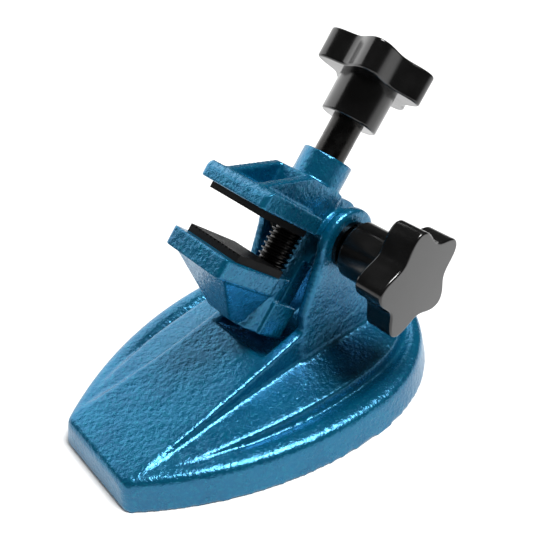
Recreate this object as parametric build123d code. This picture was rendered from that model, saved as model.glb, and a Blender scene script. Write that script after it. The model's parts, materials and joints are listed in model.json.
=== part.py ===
"""Small tilting clamp vise on a heavy cast base, one STEP file per physical piece.

Millimetres, +Z up, narrow tip of the base towards -Y, tilt knob on the +X side,
origin on the floor under the middle of the base.
"""
import math
import os

from build123d import *

# ---- base -------------------------------------------------------------------
BASE_HALF_W = 52.9        # half of the greatest width, at WIDE_Y
WIDE_Y = 15.2             # station of the greatest width
TIP_Y = -75.7             # straight front edge
TIP_HALF_W = 19.9
TIP_ROUND = 4.6           # plan radius of the two front corners
REAR_LEN = 60.5           # WIDE_Y to the rearmost point
REACH = 100.0             # past any side of the casting, for cutting shapes
OVAL, FULL = 0.552, 0.688  # handle lengths of an oval and of a fuller rear end
SLAB_H = 12.7             # height of the shoulder round the base
WALL_INSET, TIP_INSET = 3.2, 1.8      # draft of the wall over its height
SHOULDER_ROUND = 3.4
TOP_MARGIN = 3.5          # tiers stay this far inside the foot of the wall
SHEET_T, SHEET_MARGIN, SHEET_GAP = 1.2, 6.0, 0.4    # anti-slip sheet in its recess
TIER_HALF_W = 37.4        # ridge of the middle tier, at WIDE_Y
TIER_TIP_HALF_W = 17.4
TIER_REAR_LEN = 46.8
TIER_DRAFT = 0.34         # mm out per mm down
TIER_IN_Z, TIER_OUT_Z = 17.6, 15.4    # its top leans outwards
GUTTER_Z = 10.4
SPINE_HALF_W = 17.4
SPINE_DRAFT = 1.6         # each side, over 20 mm of height
SPINE_LEN, SPINE_RISE, SPINE_SWEEP, SPINE_STEPS = 85.0, 11.4, 7.0, 12
SPINE_FOOT_Y = 6.0        # where the spine meets the post

# ---- post and pivot -----------------------------------------------------------
TILT = 39.84              # lean of the head, degrees back from upright
HEAD_Y, HEAD_Z = 18.1, 66.8
PIVOT_OFF, PIVOT_S = 12.7, -0.4   # pivot centre in head terms, behind the screw
CHEEK_IN, CHEEK_OUT = 13.4, 17.5
CHEEK_R = 13.3
SCOOP_R = 51.5            # swing room for the lower jaw
BOLT_R = 3.0              # M6
FIT = 0.05                # running clearance, radial
HUB_R_LUG, HUB_HALF_W = 10.4, 12.3    # hubs of the head's lug, with a friction disc on each

# ---- head (x across, b backwards, s up along the screw) -----------------------
JAW_HALF_W = 15.8
JAW_FRONT, JAW_REAR = -36.6, -5.0
JAW_TOP, JAW_BOT = 3.0, -3.2
BLOCK_TOP, BLOCK_FRONT, BLOCK_HALF_W = 13.6, -13.5, 9.5
RIB_IN, RIB_FRONT = 6.0, -34.6
FRONT_CHAMFER, CORNER_R = 2.2, 1.6
BOSS_R, BOSS_TOP = 9.5, 23.4
LUG_R, LUG_HALF_W = 13.8, 9.0
KEEL_HALF_W, KEEL_B0, KEEL_B1, KEEL_BOT = 6.5, 8.2, 15.0, -43.0
PAD_B0, PAD_B1 = -32.0, -8.0
UPPER_PAD_HALF_W, UPPER_PAD_T = 13.4, 2.4
LOWER_PAD_HALF_W, LOWER_PAD_T = 12.9, 2.7
GROOVE_PITCH, GROOVE_W, GROOVE_DEPTH = 2.0, 0.7, 0.6
GROOVES = 6               # each side of the middle one
LOWER_TOP, LOWER_BOT = -22.0, -28.8
LOWER_HALF_W = 14.3
LOWER_FRONT, LOWER_REAR = -37.6, -7.5
NUT_R, NUT_BOT = 9.3, -44.0
ARM_OUT, ARM_TOP, ARM_REAR = 10.6, -31.0, 13.5      # arms of the jaw either side of the keel
KEEL_PLAY = 0.08

# ---- screw and knobs ----------------------------------------------------------
THREAD_R = 5.9            # M12 clamp screw
SHOULDER_R = 5.9
NECK_R = 4.6              # through the boss, under the shoulder
WASHER_R, WASHER_T = 7.4, 1.2
CLIP_R = 7.6
CLIP_TOP, CLIP_BOT = -42.2, -43.6
CLIP_POCKET_TOP = -39.4
SCREW_END = -44.4
GRUB_R = 2.0
GRUB_S, GRUB_B0, GRUB_B1 = 45.0, 3.4, 10.2
KNOB_R = 20.5
KNOB_T = 11.0
HUB_R = 10.7
LOBES, LOBE_DEPTH, LOBE_FLAT = 5, 0.16, 0.01
POINTS_PER_LOBE = 14
RIM_EDGE, HUB_EDGE = 0.8, 0.8
SPIGOT_R, SPIGOT_L = 4.0, 14.0
CAP_R, CAP_T = 7.5, 3.1
BOLT_WASHER_R, BOLT_WASHER_T = 8.5, 1.5
TILT_WASHER_R, TILT_WASHER_T = 9.0, 1.6
SPRING_R = 6.0
INSERT_R = 5.5
CLAMP_HUB_BOT, CLAMP_RIM_BOT = 37.5, 52.0
TILT_HUB_IN, TILT_RIM_IN = 21.6, 38.2
CLAMP_PHASE, TILT_PHASE = 11.0, 114.1    # where a lobe points, degrees

HEAD = Pos(0, HEAD_Y, HEAD_Z) * Rot(-TILT, 0, 0)
LEAN_C, LEAN_S = math.cos(math.radians(TILT)), math.sin(math.radians(TILT))
PIVOT_Y = HEAD_Y + PIVOT_OFF * LEAN_C + PIVOT_S * LEAN_S
PIVOT_Z = HEAD_Z - PIVOT_OFF * LEAN_S + PIVOT_S * LEAN_C


def box(x0, x1, y0, y1, z0, z1):
    return Pos((x0 + x1) / 2, (y0 + y1) / 2, (z0 + z1) / 2) * Box(x1 - x0, y1 - y0, z1 - z0)


def side_plate(points, x0, x1):
    """Closed polygon of (y, z) corners made solid between two X stations."""
    face = make_face(Polyline([(x0, y, z) for y, z in points], close=True))
    return extrude(face, amount=x1 - x0, dir=(1, 0, 0))


def rod(radius, z0, z1, x=0.0, y=0.0):
    return Pos(x, y, (z0 + z1) / 2) * Cylinder(radius, z1 - z0)


def cross_rod(radius, x0, x1, y=0.0, z=0.0):
    return Pos((x0 + x1) / 2, y, z) * Rot(0, 90, 0) * Cylinder(radius, x1 - x0)


def pivot_ring(radius, x0, x1):
    """Disc round the pivot bolt."""
    return cross_rod(radius, x0, x1, PIVOT_Y, PIVOT_Z) - cross_rod(BOLT_R + FIT, x0, x1, PIVOT_Y, PIVOT_Z)


def outline(z, half_w, tip_half, tip_y, rear_len, fullness=OVAL):
    """Boat-shaped closed outline at height z: straight tip, two bowed sides, oval rear."""
    rise = WIDE_Y - tip_y
    rad = (rise ** 2 + (half_w - tip_half) ** 2) / (2 * (half_w - tip_half))
    mid_x = half_w - rad + math.sqrt(rad ** 2 - (rise / 2) ** 2)
    mid_y = WIDE_Y - rise / 2
    end_y = WIDE_Y + rear_len
    edges = [Line((-tip_half, tip_y), (tip_half, tip_y))]
    for side in (1, -1):
        edges.append(ThreePointArc((side * tip_half, tip_y), (side * mid_x, mid_y), (side * half_w, WIDE_Y)))
        edges.append(Bezier((side * half_w, WIDE_Y), (side * half_w, WIDE_Y + fullness * rear_len),
                            (side * fullness * half_w, end_y), (0, end_y)))
    return Pos(0, 0, z) * Wire(edges)


def plan(z, half_w, tip_half, tip_y, rear_len):
    """The same outline as a face, with its two front corners rounded."""
    face = Face(outline(z, half_w, tip_half, tip_y, rear_len))
    return fillet(face.vertices().group_by(Axis.Y)[0], TIP_ROUND)


def section(z, points):
    """Closed (x, y) polygon at height z."""
    return Wire(Polyline([(x, y, z) for x, y in points], close=True))


def slab():
    """Outer body of the base with its drafted wall and round shoulder."""
    low = plan(0, BASE_HALF_W, TIP_HALF_W, TIP_Y, REAR_LEN)
    high = plan(SLAB_H, BASE_HALF_W - WALL_INSET, TIP_HALF_W - WALL_INSET / 2, TIP_Y + TIP_INSET,
                REAR_LEN - WALL_INSET)
    body = Solid.make_loft([face.faces()[0].outer_wire() for face in (low, high)])
    return fillet(body.edges().group_by(Axis.Z)[-1], SHOULDER_ROUND)


def gutter():
    """Shallow valley between the rim and the middle tier, dying out at the tip."""
    low = outline(GUTTER_Z, TIER_HALF_W + 1.4, TIER_TIP_HALF_W - 2, TIP_Y + 12, TIER_REAR_LEN + 1.4, FULL)
    high = outline(SLAB_H + 1, TIER_HALF_W + 8, TIER_TIP_HALF_W - 1, TIP_Y + 5, TIER_REAR_LEN + 7, 0.64)
    return Solid.make_loft([low, high])


def tier():
    """Middle tier: drafted plan under a top that climbs from the tip and leans outwards."""
    plans = []
    for z in (6.0, 20.0):
        out = TIER_DRAFT * (TIER_OUT_Z - z)
        plans.append(outline(z, TIER_HALF_W + out, TIER_TIP_HALF_W + out / 2, TIP_Y + 5,
                             TIER_REAR_LEN + out, FULL))
    roofs = []
    for y, inner, outer in ((TIP_Y, SLAB_H - 0.9, SLAB_H - 0.9), (-25, 15.6, 14.6),
                            (WIDE_Y, TIER_IN_Z, TIER_OUT_Z), (70, TIER_IN_Z, TIER_OUT_Z)):
        ring = [(-60, 4), (60, 4), (60, outer - (inner - outer)), (SPINE_HALF_W, inner),
                (-SPINE_HALF_W, inner), (-60, outer - (inner - outer))]
        roofs.append(Wire(Polyline([(x, y, z) for x, z in ring], close=True)))
    return Solid.make_loft(plans) & Solid.make_loft(roofs, True)


def spine():
    """Central rib: drafted sides, its top sweeping up to the foot of the post."""
    y0 = TIP_Y + 3.5
    climb = []
    for k in range(SPINE_STEPS + 1):
        y = y0 + (SPINE_FOOT_Y - y0) * k / SPINE_STEPS
        t = (y - y0) / SPINE_LEN
        climb.append((y, SLAB_H - 0.3 + SPINE_RISE * t + SPINE_SWEEP * t * t))
    path = [(y0, 6)] + climb + [(42, climb[-1][1]), (60, TIER_IN_Z), (60, 6)]
    low_half = SPINE_HALF_W + SPINE_DRAFT
    profile = [(-low_half, 10), (low_half, 10), (SPINE_HALF_W, 30), (-SPINE_HALF_W, 30)]
    face = make_face(Polyline([(x, -REACH, z) for x, z in profile], close=True))
    return side_plate(path, -REACH, REACH) & extrude(face, amount=2 * REACH, dir=(0, 1, 0))


def post():
    """Two cheeks rising from the spine: slanted front, round top, foot spread into the tier."""
    spread = ((14, 21.5), (19, 19.4), (26, 18.2), (34, CHEEK_OUT), (80, CHEEK_OUT))
    body = Solid.make_loft([section(z, [(-hw, -5), (hw, -5), (hw, 60), (-hw, 60)]) for z, hw in spread], True)
    web = side_plate([(PIVOT_Y - CHEEK_R, PIVOT_Z), (12.9, 54.5), (6.4, 36), (5.6, 28), (3.5, 14),
                      (57, 14), (51, 28), (46, 42), (PIVOT_Y + CHEEK_R, PIVOT_Z)], -REACH, REACH)
    return body & (web + cross_rod(CHEEK_R, -REACH, REACH, PIVOT_Y, PIVOT_Z))


def base_casting():
    edge = plan(0, BASE_HALF_W - TOP_MARGIN, TIP_HALF_W - TOP_MARGIN / 2, TIP_Y + TOP_MARGIN,
                REAR_LEN - TOP_MARGIN)
    within = extrude(edge, amount=REACH, dir=(0, 0, 1))
    solid = slab() - gutter() + ((tier() + spine()) & within) + post()
    solid -= box(-CHEEK_IN, CHEEK_IN, -REACH, REACH, PIVOT_Z, REACH)
    solid -= cross_rod(SCOOP_R, -CHEEK_IN, CHEEK_IN, PIVOT_Y, PIVOT_Z)
    solid -= cross_rod(BOLT_R + FIT, -REACH, REACH, PIVOT_Y, PIVOT_Z)
    return solid - sole(SHEET_MARGIN)


def sole(margin):
    """Flat sheet on the floor, a margin inside the edge of the base."""
    edge = outline(0, BASE_HALF_W - margin, TIP_HALF_W + 2 - margin, TIP_Y + 1 + margin, REAR_LEN - margin)
    return extrude(Face(edge), amount=SHEET_T, dir=(0, 0, 1))


def head_casting():
    plate = box(-JAW_HALF_W, JAW_HALF_W, JAW_FRONT, JAW_REAR, JAW_BOT, JAW_TOP)
    front_top = plate.edges().filter_by(Axis.X).group_by(Axis.Y)[0].sort_by(Axis.Z)[-1]
    plate = chamfer(front_top, FRONT_CHAMFER)
    plate = fillet(plate.edges().filter_by(Axis.Z), CORNER_R)
    body = plate + box(-BLOCK_HALF_W, BLOCK_HALF_W, BLOCK_FRONT, 6, JAW_BOT, BLOCK_TOP)
    for side in (-1, 1):
        x0, x1 = sorted((side * RIB_IN, side * BLOCK_HALF_W))
        body += side_plate([(RIB_FRONT, 0), (RIB_FRONT, JAW_TOP - 0.2), (BLOCK_FRONT, BLOCK_TOP),
                            (-BOSS_R, BLOCK_TOP), (-BOSS_R, 0)], x0, x1)
    body += rod(BOSS_R, JAW_BOT, BOSS_TOP)
    lug = cross_rod(LUG_R, -LUG_HALF_W, LUG_HALF_W, PIVOT_OFF, PIVOT_S)
    lug += cross_rod(HUB_R_LUG, -HUB_HALF_W, HUB_HALF_W, PIVOT_OFF, PIVOT_S)
    lug += box(-LUG_HALF_W, LUG_HALF_W, 0, PIVOT_OFF, PIVOT_S, BLOCK_TOP - 0.6)
    body += lug - box(-REACH, REACH, -REACH, KEEL_B0, -REACH, JAW_BOT)
    body += box(-KEEL_HALF_W, KEEL_HALF_W, KEEL_B0, KEEL_B1, KEEL_BOT, 0)
    body -= rod(NECK_R + FIT, JAW_TOP, REACH) + rod(THREAD_R + FIT, -REACH, JAW_TOP)
    body -= rod(WASHER_R + 0.1, BOSS_TOP - WASHER_T, REACH)
    body -= cross_rod(BOLT_R + FIT, -REACH, REACH, PIVOT_OFF, PIVOT_S)
    return HEAD * body


def lower_jaw():
    plate = box(-LOWER_HALF_W, LOWER_HALF_W, LOWER_FRONT, LOWER_REAR, LOWER_BOT, LOWER_TOP)
    uprights = plate.edges().filter_by(Axis.Z).group_by(Axis.Y)
    plate = fillet(uprights[0], CORNER_R - 0.2)
    plate = fillet(plate.edges().filter_by(Axis.Z).group_by(Axis.Y)[-1], 3.0)
    wedge = Solid.make_loft([section(LOWER_BOT + 1, [(-14, -35), (14, -35), (14, -8), (-14, -8)]),
                             section(NUT_BOT + 1, [(-6, -12.5), (6, -12.5), (6, -6), (-6, -6)])], True)
    nut = rod(NUT_R, NUT_BOT, LOWER_TOP) + box(-NUT_R, NUT_R, LOWER_REAR - 1, 0, LOWER_BOT - 1, LOWER_TOP)
    body = plate + wedge + nut
    guide_half, guide_front = KEEL_HALF_W + KEEL_PLAY, KEEL_B0 - 0.2
    for side in (-1, 1):
        x0, x1 = sorted((side * guide_half, side * ARM_OUT))
        body += box(x0, x1, 0, ARM_REAR, NUT_BOT, ARM_TOP)
    body -= box(-REACH, REACH, guide_front, REACH, ARM_TOP, 0)
    body -= box(-guide_half, guide_half, guide_front, REACH, -REACH, 0)
    body -= rod(THREAD_R + FIT, -REACH, 0) + rod(CLIP_R + 0.4, -REACH, CLIP_POCKET_TOP)
    return HEAD * body


def rubber(s0, thick, half_w, grooves_up):
    """Jaw rubber: a flat strip with grooves running back from the front edge."""
    pad = box(-half_w, half_w, PAD_B0, PAD_B1, s0, s0 + thick)
    edge = s0 + thick if grooves_up else s0
    for k in range(-GROOVES, GROOVES + 1):
        x0 = k * GROOVE_PITCH - GROOVE_W / 2
        pad -= box(x0, x0 + GROOVE_W, -REACH, REACH, edge - GROOVE_DEPTH, edge + GROOVE_DEPTH)
    return HEAD * pad


def clamp_screw():
    """Shank with its neck, shoulder and spigot; the thread is left plain."""
    screw = rod(THREAD_R - FIT / 2, SCREW_END, JAW_TOP - 0.5) + rod(NECK_R, 0, BOSS_TOP)
    screw += rod(SHOULDER_R, BOSS_TOP, CLAMP_HUB_BOT)
    screw += rod(SPIGOT_R, CLAMP_HUB_BOT, CLAMP_HUB_BOT + SPIGOT_L)
    screw = chamfer(screw.edges().sort_by(Axis.Z)[0], 0.6)
    return HEAD * (screw - grub())


def grub():
    """Set screw through the back of the clamp knob's hub, onto the spigot."""
    return Pos(0, (GRUB_B0 + GRUB_B1) / 2, GRUB_S) * Rot(90, 0, 0) * Cylinder(GRUB_R, GRUB_B1 - GRUB_B0)


def star(radius):
    """Closed hand-knob outline with rounded lobes."""
    pts = []
    for k in range(LOBES * POINTS_PER_LOBE):
        a = 2 * math.pi * k / (LOBES * POINTS_PER_LOBE)
        wave = 1 + LOBE_DEPTH * math.cos(LOBES * a) + LOBE_FLAT * math.cos(2 * LOBES * a)
        r = radius * wave / (1 + LOBE_DEPTH + LOBE_FLAT)
        pts.append((r * math.cos(a), r * math.sin(a), 0))
    return Face(Wire(Spline(pts, periodic=True)))


def knob(hub_len, phase):
    """Star knob standing on its hub end, hub first, axis +Z."""
    rim = extrude(star(KNOB_R), amount=KNOB_T, dir=(0, 0, 1))
    rim = fillet(rim.edges().group_by(Axis.Z)[0] + rim.edges().group_by(Axis.Z)[-1], RIM_EDGE)
    body = Pos(0, 0, hub_len) * Rot(0, 0, phase) * rim + rod(HUB_R, 0, hub_len + 1)
    body = fillet(body.edges().group_by(Axis.Z)[0], HUB_EDGE)
    return body - rod(INSERT_R, -1, SPIGOT_L)


def insert(length, bore):
    return rod(INSERT_R, 0, length) - rod(bore, -1, length + 1)


def grub_hole():
    """Bore for the set screw, from the spigot out through the hub."""
    return HEAD * Pos(0, (GRUB_B0 + REACH) / 2, GRUB_S) * Rot(90, 0, 0) * Cylinder(GRUB_R, REACH - GRUB_B0)


def clamp_place(shape):
    return HEAD * Pos(0, 0, CLAMP_HUB_BOT) * shape


def tilt_place(shape):
    return Pos(TILT_HUB_IN, PIVOT_Y, PIVOT_Z) * Rot(0, 90, 0) * shape


def pivot_bolt():
    """M6 bolt from the far side, with a shallow round head."""
    shank = cross_rod(BOLT_R - FIT, -CHEEK_OUT - 3, TILT_HUB_IN + 12, PIVOT_Y, PIVOT_Z)
    seat = -CHEEK_OUT - BOLT_WASHER_T
    cap = cross_rod(CAP_R, seat - CAP_T, seat, PIVOT_Y, PIVOT_Z)
    cap = fillet(cap.edges().sort_by(Axis.X)[0], 2.0)
    return shank + cap


PIECES = {
    "base_casting": base_casting,
    "base_pad": lambda: sole(SHEET_MARGIN + SHEET_GAP),
    "head_casting": head_casting,
    "lower_jaw": lower_jaw,
    "upper_pad": lambda: rubber(JAW_BOT - UPPER_PAD_T, UPPER_PAD_T, UPPER_PAD_HALF_W, False),
    "lower_pad": lambda: rubber(LOWER_TOP, LOWER_PAD_T, LOWER_PAD_HALF_W, True),
    "clamp_screw": clamp_screw,
    "clamp_washer": lambda: HEAD * (rod(WASHER_R, BOSS_TOP - WASHER_T, BOSS_TOP) - rod(NECK_R + FIT, 0, 40)),
    "clamp_knob": lambda: clamp_place(knob(CLAMP_RIM_BOT - CLAMP_HUB_BOT, CLAMP_PHASE)) - grub_hole(),
    "clamp_insert": lambda: clamp_place(insert(SPIGOT_L, SPIGOT_R)) - grub_hole(),
    "knob_set_screw": lambda: HEAD * grub(),
    "end_clip": lambda: HEAD * (rod(CLIP_R, CLIP_BOT, CLIP_TOP) - rod(THREAD_R - FIT / 2, -REACH, 0)),
    "tilt_knob": lambda: tilt_place(knob(TILT_RIM_IN - TILT_HUB_IN, TILT_PHASE)),
    "tilt_insert": lambda: tilt_place(insert(SPIGOT_L, BOLT_R + FIT)),
    "pivot_bolt": pivot_bolt,
    "bolt_washer": lambda: pivot_ring(BOLT_WASHER_R, -CHEEK_OUT - BOLT_WASHER_T, -CHEEK_OUT),
    "tilt_washer": lambda: pivot_ring(TILT_WASHER_R, CHEEK_OUT, CHEEK_OUT + TILT_WASHER_T),
    "spring_washer": lambda: pivot_ring(SPRING_R, CHEEK_OUT + TILT_WASHER_T, TILT_HUB_IN),
    "friction_discs": lambda: Compound([pivot_ring(HUB_R_LUG, -CHEEK_IN, -HUB_HALF_W),
                                        pivot_ring(HUB_R_LUG, HUB_HALF_W, CHEEK_IN)]),
}

os.makedirs("parts", exist_ok=True)
for name, make in PIECES.items():
    export_step(make(), f"parts/{name}.step")
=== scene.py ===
import json
import math

import bmesh
import bpy
from mathutils import Matrix, Vector


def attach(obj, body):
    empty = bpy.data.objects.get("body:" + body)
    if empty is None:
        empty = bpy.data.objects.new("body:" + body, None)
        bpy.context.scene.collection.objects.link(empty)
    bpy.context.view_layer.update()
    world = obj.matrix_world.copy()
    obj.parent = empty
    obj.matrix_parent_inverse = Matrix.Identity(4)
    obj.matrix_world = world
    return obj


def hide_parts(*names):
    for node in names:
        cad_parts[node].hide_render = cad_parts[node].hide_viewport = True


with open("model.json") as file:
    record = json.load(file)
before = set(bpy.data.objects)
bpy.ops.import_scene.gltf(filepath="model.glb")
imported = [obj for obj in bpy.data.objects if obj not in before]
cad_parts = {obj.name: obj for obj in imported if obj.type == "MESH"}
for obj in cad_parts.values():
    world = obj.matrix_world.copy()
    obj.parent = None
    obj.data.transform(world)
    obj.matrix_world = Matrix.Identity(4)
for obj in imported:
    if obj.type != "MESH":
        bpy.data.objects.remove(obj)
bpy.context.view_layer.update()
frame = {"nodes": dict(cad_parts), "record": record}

MM = 0.001
CAD_MERGE, DRAWN_MERGE = 0.002, 0.001            # points closer than this are one, in millimetres
TILT = math.radians(39.84)                       # lean of the head, back from upright


def joint(name):
    return next(j for j in frame["record"]["behaviour"]["joints"] if j["name"] == name)


PIVOT = Vector(joint("head_tilt")["pos_m"])
PIVOT_IN_HEAD = Vector((0, 12.7 * MM, -0.4 * MM))   # behind the screw axis
HEAD = Matrix.Rotation(-TILT, 4, "X")            # x across, y backwards, z up along the screw
HEAD.translation = PIVOT - HEAD.to_3x3() @ PIVOT_IN_HEAD


# ---- shader writing -----------------------------------------------------------------

MIX_FACTOR, MIX_A, MIX_B, MIX_RESULT = 0, 6, 7, 2    # the colour sockets of a Mix node, by number


class Socket:
    """An output socket that takes part in arithmetic and comes back as Math nodes."""

    def __init__(self, look, out):
        self.look, self.out = look, out

    def _math(self, operation, *values):
        return self.look.node("ShaderNodeMath", {"operation": operation}, dict(enumerate(values)))

    def __add__(self, other):
        return self._math("ADD", self, other)

    def __mul__(self, other):
        return self._math("MULTIPLY", self, other)

    def clamp(self, low, high, to_low=0.0, to_high=1.0):
        """Smooth step: low becomes to_low, high becomes to_high, and nothing goes past them."""
        sockets = {"Value": self, "From Min": low, "From Max": high, "To Min": to_low, "To Max": to_high}
        return self.look.node("ShaderNodeMapRange", {"interpolation_type": "SMOOTHSTEP"}, sockets)


class Look:
    """One procedural material: a Principled shader and the nodes that feed it."""

    def __init__(self, name):
        self.material = bpy.data.materials.new(name)
        self.material.use_nodes = True
        self.tree = self.material.node_tree
        self.tree.nodes.clear()
        self.shader = self.tree.nodes.new("ShaderNodeBsdfPrincipled")
        out = self.tree.nodes.new("ShaderNodeOutputMaterial")
        self.tree.links.new(self.shader.outputs[0], out.inputs["Surface"])
        self.place = self.node("ShaderNodeTexCoord", {}, {}, "Object")

    def node(self, kind, settings, sockets, output=0):
        made = self.tree.nodes.new(kind)
        for key, value in settings.items():
            setattr(made, key, value)
        for key, value in sockets.items():
            self.feed(made.inputs[key], value)
        return Socket(self, made.outputs[output])

    def feed(self, target, value):
        if isinstance(value, Socket):
            self.tree.links.new(value.out, target)
        elif hasattr(target.default_value, "__len__") and len(value) == 3 and len(target.default_value) == 4:
            target.default_value = (*value, 1)
        else:
            target.default_value = value

    def set(self, **sockets):
        for key, value in sockets.items():
            self.feed(self.shader.inputs[key.replace("_", " ")], value)

    def noise(self, size, detail=2.0, rough=0.5, distortion=0.0):
        """Noise whose features are about size millimetres across."""
        sockets = {"Vector": self.place, "Scale": 1 / (size * MM), "Detail": detail,
                   "Roughness": rough, "Distortion": distortion}
        return self.node("ShaderNodeTexNoise", {}, sockets)

    def cells(self, size, smooth):
        """Rounded cells about size millimetres across."""
        sockets = {"Vector": self.place, "Scale": 1 / (size * MM), "Smoothness": smooth}
        return self.node("ShaderNodeTexVoronoi", {"feature": "SMOOTH_F1"}, sockets)

    def mix(self, mask, low, high):
        """Colour that goes from low to high as the mask goes from 0 to 1."""
        sockets = {MIX_FACTOR: mask, MIX_A: low, MIX_B: high}
        return self.node("ShaderNodeMix", {"data_type": "RGBA"}, sockets, MIX_RESULT)

    def bump(self, height, depth, strength):
        """Bump with depth in millimetres for a height of 1."""
        sockets = {"Height": height, "Distance": depth * MM, "Strength": strength}
        return self.node("ShaderNodeBump", {}, sockets)

    def worn_rough(self, base, spread, size):
        """Roughness that wanders by spread either side of base."""
        return self.noise(size, 3).clamp(0.3, 0.7, base - spread, base + spread)


# ---- looks --------------------------------------------------------------------------

THICK_BLUE, THIN_BLUE = (0.0, 0.1, 0.215), (0.0, 0.13, 0.26)
RIPPLE_BLUE, FLAKE_BLUE = (0.0, 0.165, 0.28), (0.02, 0.3, 0.42)
BLACK_PLASTIC = BLACK_RUBBER = (0.002, 0.002, 0.002)
SOLE_GREY, FIBRE_BROWN = (0.02, 0.02, 0.02), (0.12, 0.1, 0.085)
BLACKENED, ZINC, BRASS = (0.035, 0.034, 0.033), (0.6, 0.6, 0.58), (0.75, 0.52, 0.22)


def enamel():
    """Metallic blue hammer enamel: glossy, dimpled and rippled, over the lumps of a casting."""
    look = Look("hammered_enamel")
    dimples = look.cells(1.7, smooth=0.6)
    ripple = look.noise(1.3, detail=2, rough=0.55, distortion=1.2)
    lumps = look.noise(6)
    film = look.noise(16).clamp(0.3, 0.7)
    deep = look.mix(film, THICK_BLUE, THIN_BLUE)
    pooled = look.mix(ripple.clamp(0.45, 0.75), deep, RIPPLE_BLUE)
    flake = look.noise(0.4, detail=1).clamp(0.6, 0.72)
    height = dimples * 0.35 + ripple * 0.45 + lumps * 0.6
    look.set(Base_Color=look.mix(flake * 0.3, pooled, FLAKE_BLUE),
             Metallic=0.6,
             Specular_IOR_Level=0.9,
             Roughness=look.worn_rough(0.25, spread=0.04, size=6),
             Normal=look.bump(height, depth=0.5, strength=0.7))
    return look.material


def moulded(name, colour, rough, bump_depth, shine=0.5):
    """Plastic, rubber or fibre: a plain colour with a faint haze and a fine skin."""
    look = Look(name)
    hazy = tuple(c * 1.4 + 0.001 for c in colour)
    haze = look.noise(9).clamp(0.35, 0.7)
    skin = look.noise(0.9, detail=3)
    look.set(Base_Color=look.mix(haze, colour, hazy),
             Specular_IOR_Level=shine,
             Roughness=look.worn_rough(rough, spread=0.03, size=7),
             Normal=look.bump(skin, bump_depth, strength=0.6))
    return look.material


def metal(name, colour, rough):
    """Turned or plated metal with a fine mottle."""
    look = Look(name)
    darker = tuple(c * 0.8 for c in colour)
    mottle = look.noise(0.5)
    look.set(Base_Color=look.mix(mottle.clamp(0.3, 0.7), colour, darker),
             Metallic=1.0,
             Roughness=look.worn_rough(rough, spread=0.08, size=3),
             Normal=look.bump(mottle, depth=0.02, strength=0.4))
    return look.material


LOOKS = {
    "enamel": enamel(),
    "knob_plastic": moulded("black_knob_plastic", BLACK_PLASTIC, rough=0.2, bump_depth=0.01, shine=0.6),
    "black_steel": metal("blackened_steel", BLACKENED, rough=0.26),
    "bright_steel": metal("zinc_plated_steel", ZINC, rough=0.3),
    "brass": metal("turned_brass", BRASS, rough=0.28),
    "pad_rubber": moulded("ribbed_pad_rubber", BLACK_RUBBER, rough=0.5, bump_depth=0.03, shine=0.12),
    "sole_rubber": moulded("sole_sheet_rubber", SOLE_GREY, rough=0.75, bump_depth=0.08),
    "friction_fibre": moulded("friction_fibre", FIBRE_BROWN, rough=0.7, bump_depth=0.05),
}

WASHERS_IN_PAINTED_SHADE = ("tilt_washer", "spring_washer")    # plated steel in the record, drawn in the blackened steel look as painted shade for the shadowed gap between ear and hub

for part in frame["record"]["subparts"]:
    # the washers in the shaded gap beside the hub take the dark steel look: painted shade, not their plated
    # finish
    look_name = "black_steel" if part["node"] in WASHERS_IN_PAINTED_SHADE else part["material_slot"]
    mesh = frame["nodes"][part["node"]].data
    mesh.materials.clear()
    mesh.materials.append(LOOKS[look_name])


# ---- castings -----------------------------------------------------------------------

def casting(name, source, body, voxel, rounds):
    """A cast piece: the CAD shape with the soft edges and filled corners of a sand casting."""
    piece = bpy.data.objects.new(name, frame["nodes"][source].data.copy())
    bpy.context.collection.objects.link(piece)
    bm = bmesh.new()
    bm.from_mesh(piece.data)
    bmesh.ops.remove_doubles(bm, verts=bm.verts, dist=CAD_MERGE * MM)
    bm.to_mesh(piece.data)
    bm.free()
    remesh = piece.modifiers.new("skin", "REMESH")
    remesh.mode, remesh.voxel_size, remesh.use_smooth_shade = "VOXEL", voxel * MM, True
    soften = piece.modifiers.new("soften", "SMOOTH")
    soften.factor, soften.iterations = 0.5, rounds
    piece.data.materials.clear()
    piece.data.materials.append(LOOKS["enamel"])
    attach(piece, body)
    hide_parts(source)
    return piece


casting("base_cast", "base_casting", "base", voxel=0.8, rounds=8)
casting("head_cast", "head_casting", "head", voxel=0.45, rounds=6)
casting("jaw_cast", "lower_jaw", "jaw", voxel=0.4, rounds=6)


# ---- clamp screw --------------------------------------------------------------------

# Heights along the screw from the head's origin, and radii.
SCREW_END, THREAD_TOP, NECK_TOP, SHOULDER_TOP, SPIGOT_TOP = -44.4, 2.4, 23.4, 37.5, 51.5
CREST_R, ROOT_R, NECK_R, SHOULDER_R, SPIGOT_R = 5.86, 4.75, 4.6, 5.9, 4.0
END_CHAMFER, SHOULDER_CHAMFER = 0.5, 0.3
PITCH, TURNS, THREAD_START = 2.0, 22, 1.2        # the first turn starts this far above the screw's end
CREST_HALF, FOOT_HALF, ROOT_SINK = 0.15, 0.85, 0.2    # half widths of the ridge, and how deep its foot sinks
CORE_STEPS, THREAD_STEPS = 64, 40


def lathe(bm, profile, steps, turns=1, rise=0.0):
    """Spin a closed (radius, height) profile about Z; with a rise per turn it winds into a helix."""
    corners = [bm.verts.new((r * MM, 0, z * MM)) for r, z in profile]
    ring = [bm.edges.new(pair) for pair in zip(corners, corners[1:] + corners[:1])]
    climb = Vector((0, 0, rise * MM / steps))
    bmesh.ops.spin(bm, geom=corners + ring, axis=(0, 0, 1), cent=(0, 0, 0), dvec=climb,
                   angle=math.tau * turns, steps=steps * turns, use_merge=rise == 0)


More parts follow.
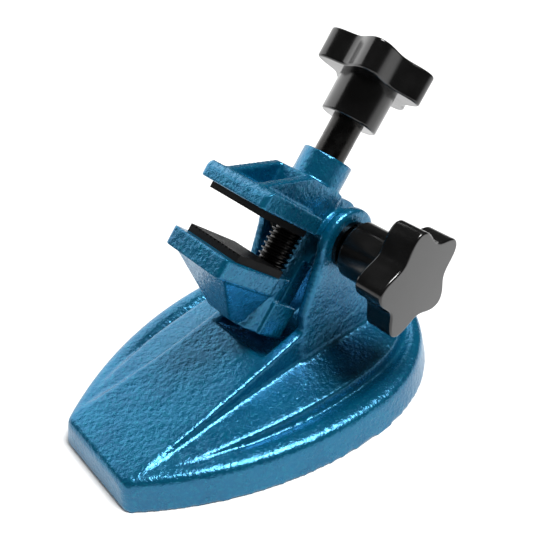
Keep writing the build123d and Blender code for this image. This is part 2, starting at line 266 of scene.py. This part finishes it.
def piece_from(bm, name, place, body, slot, replaces):
    """Finish a bmesh drawn in a local frame as one piece of a body, in place of a CAD node."""
    bmesh.ops.remove_doubles(bm, verts=bm.verts, dist=DRAWN_MERGE * MM)
    bmesh.ops.recalc_face_normals(bm, faces=bm.faces)
    bmesh.ops.transform(bm, matrix=place, verts=bm.verts)
    mesh = bpy.data.meshes.new(name)
    bm.to_mesh(mesh)
    bm.free()
    mesh.materials.append(LOOKS[slot])
    piece = bpy.data.objects.new(name, mesh)
    bpy.context.collection.objects.link(piece)
    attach(piece, body)
    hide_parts(replaces)
    return piece


def clamp_screw():
    """Black screw: a cut thread through the throat, a smooth shoulder above the head."""
    bm = bmesh.new()
    core = [(0, SCREW_END), (ROOT_R - END_CHAMFER, SCREW_END), (ROOT_R, SCREW_END + END_CHAMFER),
            (ROOT_R, THREAD_TOP), (NECK_R, THREAD_TOP), (NECK_R, NECK_TOP),
            (SHOULDER_R - SHOULDER_CHAMFER, NECK_TOP), (SHOULDER_R, NECK_TOP + SHOULDER_CHAMFER),
            (SHOULDER_R, SHOULDER_TOP), (SPIGOT_R, SHOULDER_TOP), (SPIGOT_R, SPIGOT_TOP), (0, SPIGOT_TOP)]
    lathe(bm, core, CORE_STEPS)
    start = SCREW_END + THREAD_START
    ridge = [(ROOT_R - ROOT_SINK, start - FOOT_HALF), (CREST_R, start - CREST_HALF),
             (CREST_R, start + CREST_HALF), (ROOT_R - ROOT_SINK, start + FOOT_HALF)]
    lathe(bm, ridge, THREAD_STEPS, TURNS, PITCH)
    bmesh.ops.holes_fill(bm, edges=[e for e in bm.edges if e.is_boundary], sides=4)
    screw = piece_from(bm, "threaded_screw", HEAD, "screw", "black_steel", "clamp_screw")
    smooth_by_angle(screw, 35)


def smooth_by_angle(piece, degrees):
    """Round sides shade smooth, corners stay crisp."""
    piece.data.shade_smooth()
    bm = bmesh.new()
    bm.from_mesh(piece.data)
    for edge in bm.edges:
        edge.smooth = edge.is_manifold and edge.calc_face_angle(0) < math.radians(degrees)
    bm.to_mesh(piece.data)
    bm.free()


clamp_screw()


# ---- studio -------------------------------------------------------------------------

FLOOR_SIZE, FLOOR_WHITE, ROOM_LIGHT = 6, (0.86, 0.86, 0.86), 0.06
LIT_POINT = Vector((0, 0, 0.05))                 # where both lamps point
CAMERA_PLACE = Vector((151.49, -129.57, 193.64)) * MM
CAMERA_TURN, CAMERA_DROP, CAMERA_ROLL = (math.radians(angle) for angle in (48.72, 35.32, -0.24))
SENSOR, LENS = 36, 46.06


def area_light(name, place, width, height, watts):
    data = bpy.data.lights.new(name, "AREA")
    data.shape, data.size, data.size_y, data.energy = "RECTANGLE", width, height, watts
    lamp = bpy.data.objects.new(name, data)
    lamp.location = place
    lamp.rotation_euler = (LIT_POINT - Vector(place)).to_track_quat("-Z", "Y").to_euler()
    bpy.context.collection.objects.link(lamp)


def studio_floor():
    bm = bmesh.new()
    bmesh.ops.create_grid(bm, x_segments=1, y_segments=1, size=FLOOR_SIZE)
    mesh = bpy.data.meshes.new("floor")
    bm.to_mesh(mesh)
    bm.free()
    floor = bpy.data.objects.new("floor", mesh)
    bpy.context.collection.objects.link(floor)
    look = Look("pale_floor")
    look.set(Base_Color=FLOOR_WHITE, Roughness=0.7)
    mesh.materials.append(look.material)


def lights():
    world = bpy.data.worlds.new("dim_room")
    world.use_nodes = True
    backdrop = world.node_tree.nodes["Background"]
    backdrop.inputs["Color"].default_value = (1, 1, 1, 1)
    backdrop.inputs["Strength"].default_value = ROOM_LIGHT
    bpy.context.scene.world = world
    area_light("left_window", (-0.85, 0.0, 0.4), width=1.2, height=0.95, watts=8)
    area_light("right_lamp", (0.32, 0.22, 1.2), width=0.5, height=0.5, watts=25)


def camera():
    data = bpy.data.cameras.new("camera")
    data.sensor_width, data.lens = SENSOR, LENS
    data.clip_start, data.clip_end = 0.01, 20
    level = math.cos(CAMERA_DROP)
    ahead = Vector((-math.sin(CAMERA_TURN) * level, math.cos(CAMERA_TURN) * level, -math.sin(CAMERA_DROP)))
    right = Vector((math.cos(CAMERA_TURN), math.sin(CAMERA_TURN), 0))
    up = right.cross(ahead)
    tip = Matrix.Rotation(CAMERA_ROLL, 3, -ahead)
    place = Matrix((tip @ right, tip @ up, -ahead)).transposed().to_4x4()
    place.translation = CAMERA_PLACE
    eye = bpy.data.objects.new("camera", data)
    eye.matrix_world = place
    bpy.context.collection.objects.link(eye)
    bpy.context.scene.camera = eye


studio_floor()
lights()
camera()
bpy.context.scene.view_settings.view_transform = "Standard"
